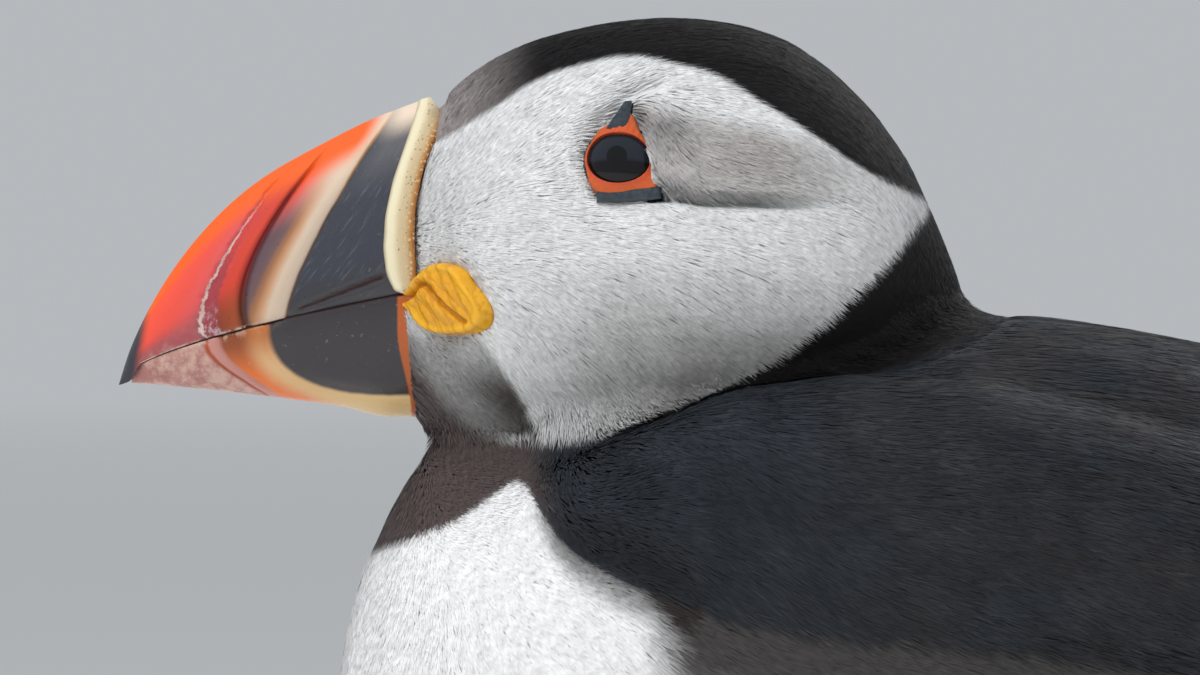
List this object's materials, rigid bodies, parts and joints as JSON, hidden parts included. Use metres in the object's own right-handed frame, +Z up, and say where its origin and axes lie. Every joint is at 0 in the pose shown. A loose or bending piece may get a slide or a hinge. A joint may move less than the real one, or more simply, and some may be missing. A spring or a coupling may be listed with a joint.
{
  "type": "atlantic puffin model",
  "caption": "Life-size standing seabird with a deep banded bill, folded wings and webbed feet, as a still museum-style model.",
  "frame": {"origin": "on the floor, under the centre of the bird's box", "axes": "+Z up, the bird faces -Y, +X is its left side"},
  "size_m": [0.0866, 0.2136, 0.1636],
  "materials": {
    "white_plumage": "fine white feathers",
    "black_plumage": "black feathers with a slate sheen",
    "bill_horn": "satin horn in orange, cream and slate bands",
    "ridge_horn": "matt cream horn with fine pores",
    "rosette_skin": "wrinkled bare skin",
    "eye": "wet and glossy",
    "eye_ring": "bare skin",
    "eye_plate": "satin horn",
    "leg_skin": "scaled bare skin",
    "claw_horn": "satin horn"
  },
  "bodies": {
    "root": {"head": "white_plumage", "neck": "black_plumage", "trunk": "white_plumage", "tail": "black_plumage", "bill_upper": "bill_horn", "bill_lower": "bill_horn", "bill_ridge": "ridge_horn", "wing_left": "black_plumage", "thigh_left": "white_plumage", "leg_left": "leg_skin", "foot_left": "leg_skin", "eye_left": "eye", "eye_ring_left": "eye_ring", "eye_plate_upper_left": "eye_plate", "eye_plate_lower_left": "eye_plate", "rosette_left": "rosette_skin", "claw_inner_left": "claw_horn", "claw_middle_left": "claw_horn", "claw_outer_left": "claw_horn", "wing_right": "black_plumage", "thigh_right": "white_plumage", "leg_right": "leg_skin", "foot_right": "leg_skin", "eye_right": "eye", "eye_ring_right": "eye_ring", "eye_plate_upper_right": "eye_plate", "eye_plate_lower_right": "eye_plate", "rosette_right": "rosette_skin", "claw_inner_right": "claw_horn", "claw_middle_right": "claw_horn", "claw_outer_right": "claw_horn"}
  },
  "joints": []
}
